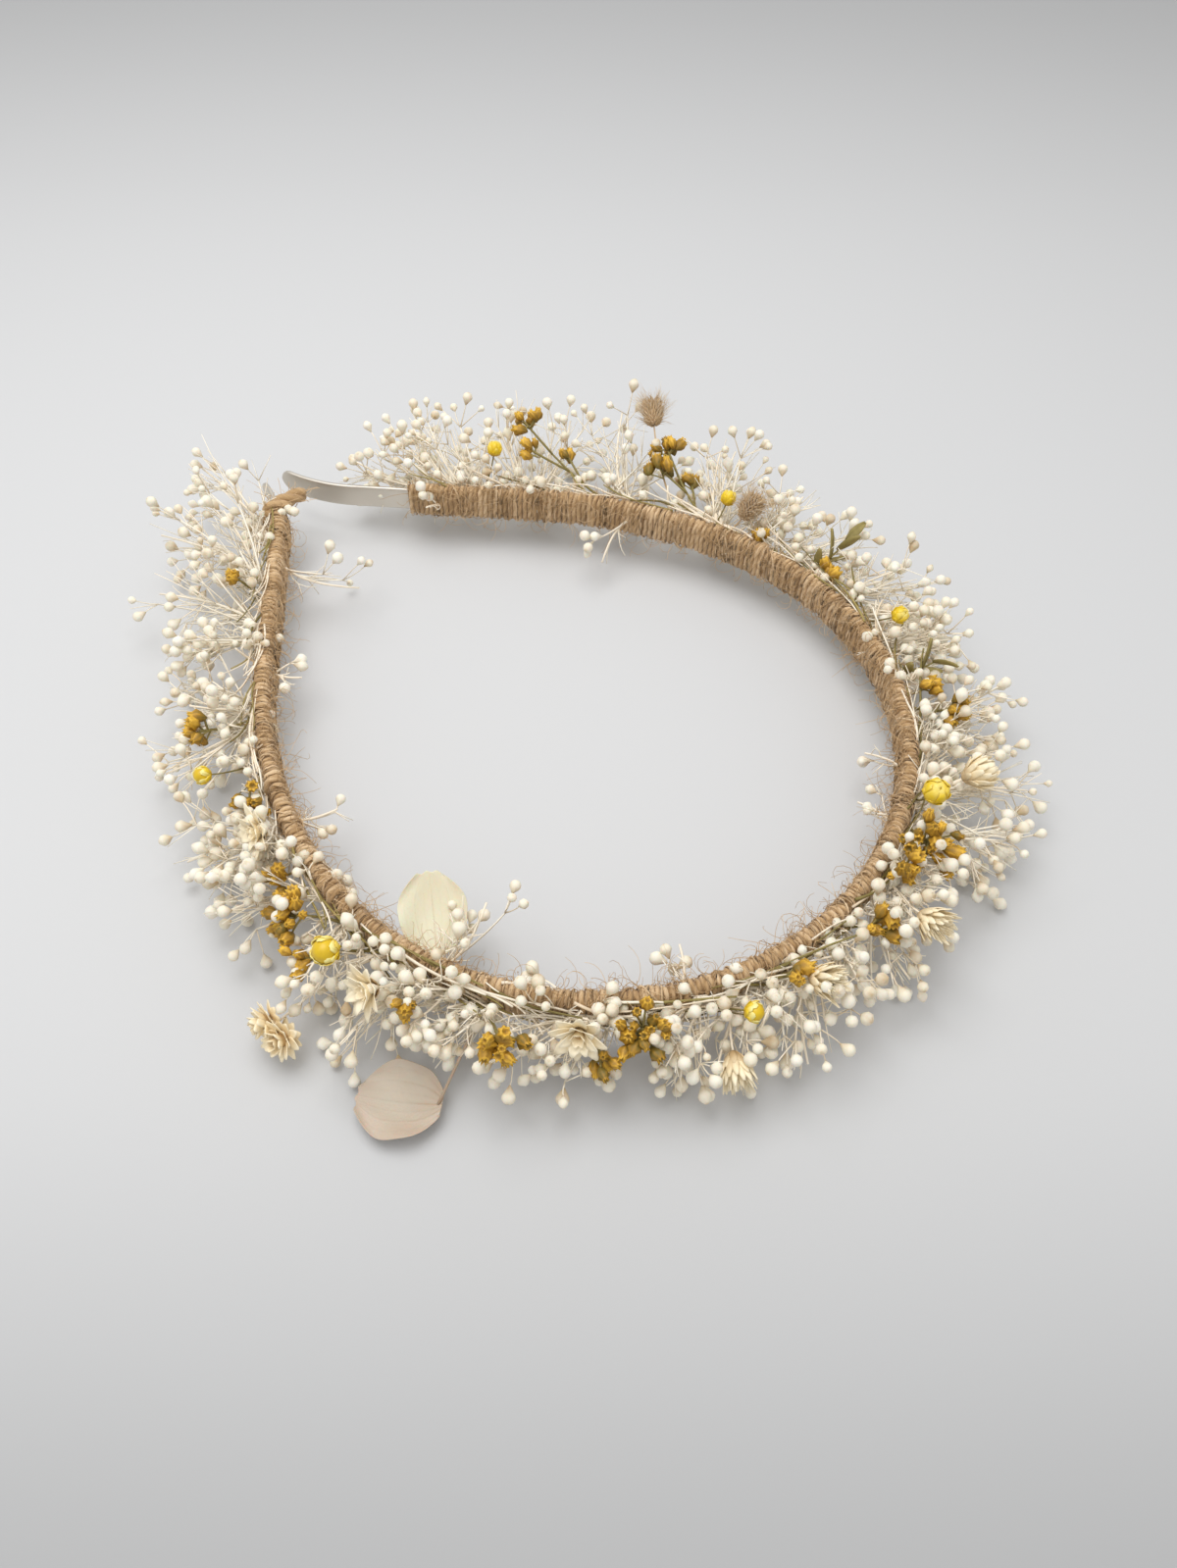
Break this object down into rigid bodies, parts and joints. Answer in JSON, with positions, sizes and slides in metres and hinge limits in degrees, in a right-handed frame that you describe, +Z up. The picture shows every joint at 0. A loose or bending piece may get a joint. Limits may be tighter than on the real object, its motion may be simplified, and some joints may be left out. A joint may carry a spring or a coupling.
{
  "type": "flower headband",
  "caption": "Open springy steel headband wound with jute twine and dressed along its outer side with sprigs of small dried flowers, lying on its side.",
  "frame": {"origin": "middle of the wrap's inner face at the crown, where the band rests on the top of the head", "axes": "the band lies in the XY plane; +Y from the crown to the two tips, +Z up as it lies on its side, +X towards the side whose steel end is left bare"},
  "size_m": [0.156, 0.1852, 0.0251],
  "materials": {
    "steel": "satin, faintly brushed along the strip",
    "jute": "rough two-ply natural jute twine with loose fibres",
    "gypsophila": "dry and matte, off-white buds on pale stems",
    "mustard": "dry, grainy mustard-brown button flowers on olive stems",
    "yellow": "papery, slightly glossy yellow bracts",
    "cream": "papery cream bracts with a peach tint",
    "petal": "thin, veined, slightly translucent",
    "grass": "soft, hairy beige",
    "olive": "dry, dull olive"
  },
  "bodies": {
    "crown": {"steel_band_crown": "steel", "jute_wrap_crown": "jute", "gypsophila_spray_10": "gypsophila", "gypsophila_spray_11": "gypsophila", "gypsophila_spray_12": "gypsophila", "gypsophila_spray_13": "gypsophila", "gypsophila_spray_14": "gypsophila", "gypsophila_spray_15": "gypsophila", "gypsophila_spray_16": "gypsophila", "gypsophila_spray_17": "gypsophila", "mustard_sprig_05": "mustard", "mustard_sprig_06": "mustard", "mustard_sprig_07": "mustard", "mustard_sprig_08": "mustard", "mustard_sprig_09": "mustard", "yellow_bud_03": "yellow", "yellow_bud_04": "yellow", "strawflower_04": "cream", "strawflower_05": "cream", "strawflower_06": "cream"},
    "bare_arm": {"steel_band_bare_arm": "steel", "jute_wrap_bare_arm": "jute", "gypsophila_spray_18": "gypsophila", "gypsophila_spray_19": "gypsophila", "gypsophila_spray_20": "gypsophila", "gypsophila_spray_21": "gypsophila", "gypsophila_spray_22": "gypsophila", "gypsophila_spray_23": "gypsophila", "gypsophila_spray_24": "gypsophila", "mustard_sprig_10": "mustard", "mustard_sprig_11": "mustard", "yellow_bud_05": "yellow", "yellow_bud_06": "yellow", "yellow_bud_07": "yellow", "bunny_grass_head": "grass", "olive_leaf_sprig": "olive"},
    "tied_arm": {"jute_tail_knot": "jute", "steel_band_tied_arm": "steel", "jute_wrap_tied_arm": "jute", "gypsophila_spray_01": "gypsophila", "gypsophila_spray_02": "gypsophila", "gypsophila_spray_03": "gypsophila", "gypsophila_spray_04": "gypsophila", "gypsophila_spray_05": "gypsophila", "gypsophila_spray_06": "gypsophila", "gypsophila_spray_07": "gypsophila", "gypsophila_spray_08": "gypsophila", "gypsophila_spray_09": "gypsophila", "mustard_sprig_01": "mustard", "mustard_sprig_02": "mustard", "mustard_sprig_03": "mustard", "mustard_sprig_04": "mustard", "yellow_bud_01": "yellow", "yellow_bud_02": "yellow", "strawflower_01": "cream", "strawflower_02": "cream", "strawflower_03": "cream", "hydrangea_petal_outer": "petal", "hydrangea_petal_inner": "petal"}
  },
  "joints": [
    {"name": "bare_arm_spread", "type": "hinge", "parent": "crown", "child": "bare_arm", "pos_m": [0.04316, 0.01979, 0], "axis": [0, 0, -1], "range_deg": [0, 25], "stiffness_Nm_per_rad": 0.55},
    {"name": "tied_arm_spread", "type": "hinge", "parent": "crown", "child": "tied_arm", "pos_m": [-0.04316, 0.01979, 0], "axis": [0, 0, 1], "range_deg": [0, 25], "stiffness_Nm_per_rad": 0.55}
  ]
}
